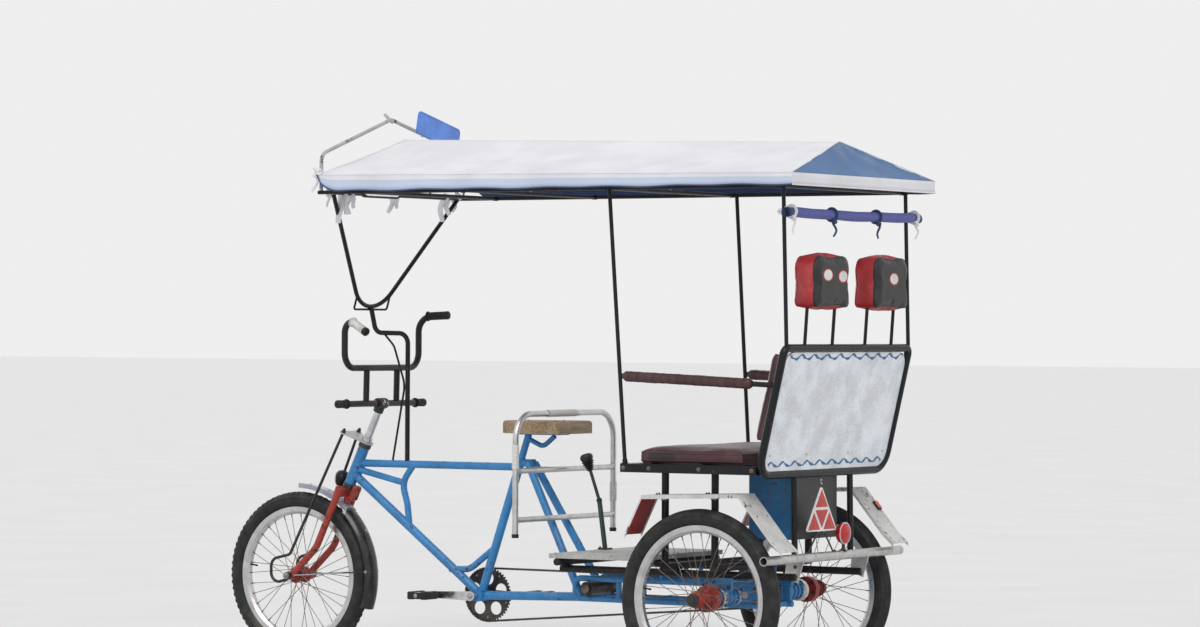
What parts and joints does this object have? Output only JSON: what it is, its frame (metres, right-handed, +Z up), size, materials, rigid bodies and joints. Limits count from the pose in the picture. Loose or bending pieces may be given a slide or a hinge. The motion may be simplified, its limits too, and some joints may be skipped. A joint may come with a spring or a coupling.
{
  "type": "cycle rickshaw",
  "caption": "Pedal rickshaw with a steered front wheel, a rider's board seat, a chain to the rear axle and a padded bench under a cloth canopy over the rear wheels.",
  "frame": {"origin": "on the ground, below the middle of the vehicle's bounding box", "axes": "+X forward, +Y to the rider's left, +Z up"},
  "size_m": [2.712, 1.04, 2.0509],
  "materials": {
    "tyre": "matte",
    "rim": "satin",
    "red_paint": "worn gloss",
    "blue_paint": "worn gloss",
    "steel": "worn",
    "chrome": "polished",
    "plastic": "matte",
    "black_paint": "gloss",
    "grip_rubber": "matte",
    "silver_paint": "satin",
    "red_panel": "satin",
    "red_vinyl": "satin",
    "tail_lamp": "gloss",
    "wood": "weathered",
    "hoop_metal": "satin",
    "upholstery": "satin",
    "white_board": "satin",
    "grey_tube": "satin",
    "plate": "satin",
    "mirror": "gloss",
    "cloth": "matte",
    "curtain": "matte"
  },
  "bodies": {
    "chassis": {"armrest_pads": "upholstery", "armrest_rods": "black_paint", "axle_housings": "blue_paint", "back_hoop": "hoop_metal", "backrest_board": "white_board", "backrest_frame": "black_paint", "backrest_pad": "upholstery", "brake_lever": "steel", "bumper": "silver_paint", "canopy": "cloth", "canopy_front_post": "black_paint", "canopy_posts": "black_paint", "carrier_cross_tubes": "black_paint", "carrier_rails": "black_paint", "chain": "steel", "driver_seat": "wood", "eave_rails": "black_paint", "fenders": "silver_paint", "footrest_deck": "wood", "gable_frame": "grey_tube", "gable_plate": "plate", "headrests": "red_vinyl", "headset_cups": "steel", "idler_hub": "steel", "ladder_frame": "blue_paint", "main_frame": "blue_paint", "mirror": "mirror", "ridge_pole": "grey_tube", "rolled_curtain": "curtain", "roof_cross_tubes": "black_paint", "seat_cushion": "upholstery", "seat_frame": "black_paint", "seat_legs": "black_paint", "seat_post": "blue_paint", "tail_lamp": "tail_lamp", "under_seat_box": "plate", "v_strut": "black_paint", "warning_triangle": "red_panel"},
    "steering": {"fork": "red_paint", "truss_rods": "black_paint", "stem": "chrome", "handlebar": "black_paint", "grips": "grip_rubber", "front_mudguard": "black_paint", "front_lamp": "black_paint"},
    "front_wheel": {"front_tyre": "tyre", "front_spoked_rim": "rim", "front_hub": "red_paint"},
    "rear_left_wheel": {"rear_left_tyre": "tyre", "rear_left_spoked_rim": "rim", "rear_left_hub": "red_paint"},
    "rear_right_wheel": {"rear_right_tyre": "tyre", "rear_right_spoked_rim": "rim", "rear_right_hub": "red_paint", "rear_axle": "steel"},
    "crank": {"chainring": "black_paint", "crank_arms": "chrome", "pedals": "plastic"}
  },
  "joints": [
    {"name": "steering", "type": "hinge", "parent": "chassis", "child": "steering", "pos_m": [0.7538, 0, 0.797], "axis": [-0.4195, 0, 0.9078], "range_deg": [-45, 45]},
    {"name": "front_wheel_spin", "type": "hinge", "parent": "steering", "child": "front_wheel", "pos_m": [1.044, 0, 0.312], "axis": [0, 1, 0], "continuous": true},
    {"name": "rear_left_spin", "type": "hinge", "parent": "chassis", "child": "rear_left_wheel", "pos_m": [-0.936, 0.4, 0.312], "axis": [0, 1, 0], "continuous": true},
    {"name": "rear_right_spin", "type": "hinge", "parent": "chassis", "child": "rear_right_wheel", "pos_m": [-0.936, -0.4, 0.312], "axis": [0, 1, 0], "continuous": true},
    {"name": "crank_spin", "type": "hinge", "parent": "chassis", "child": "crank", "pos_m": [0.229, 0, 0.265], "axis": [0, 1, 0], "continuous": true}
  ]
}
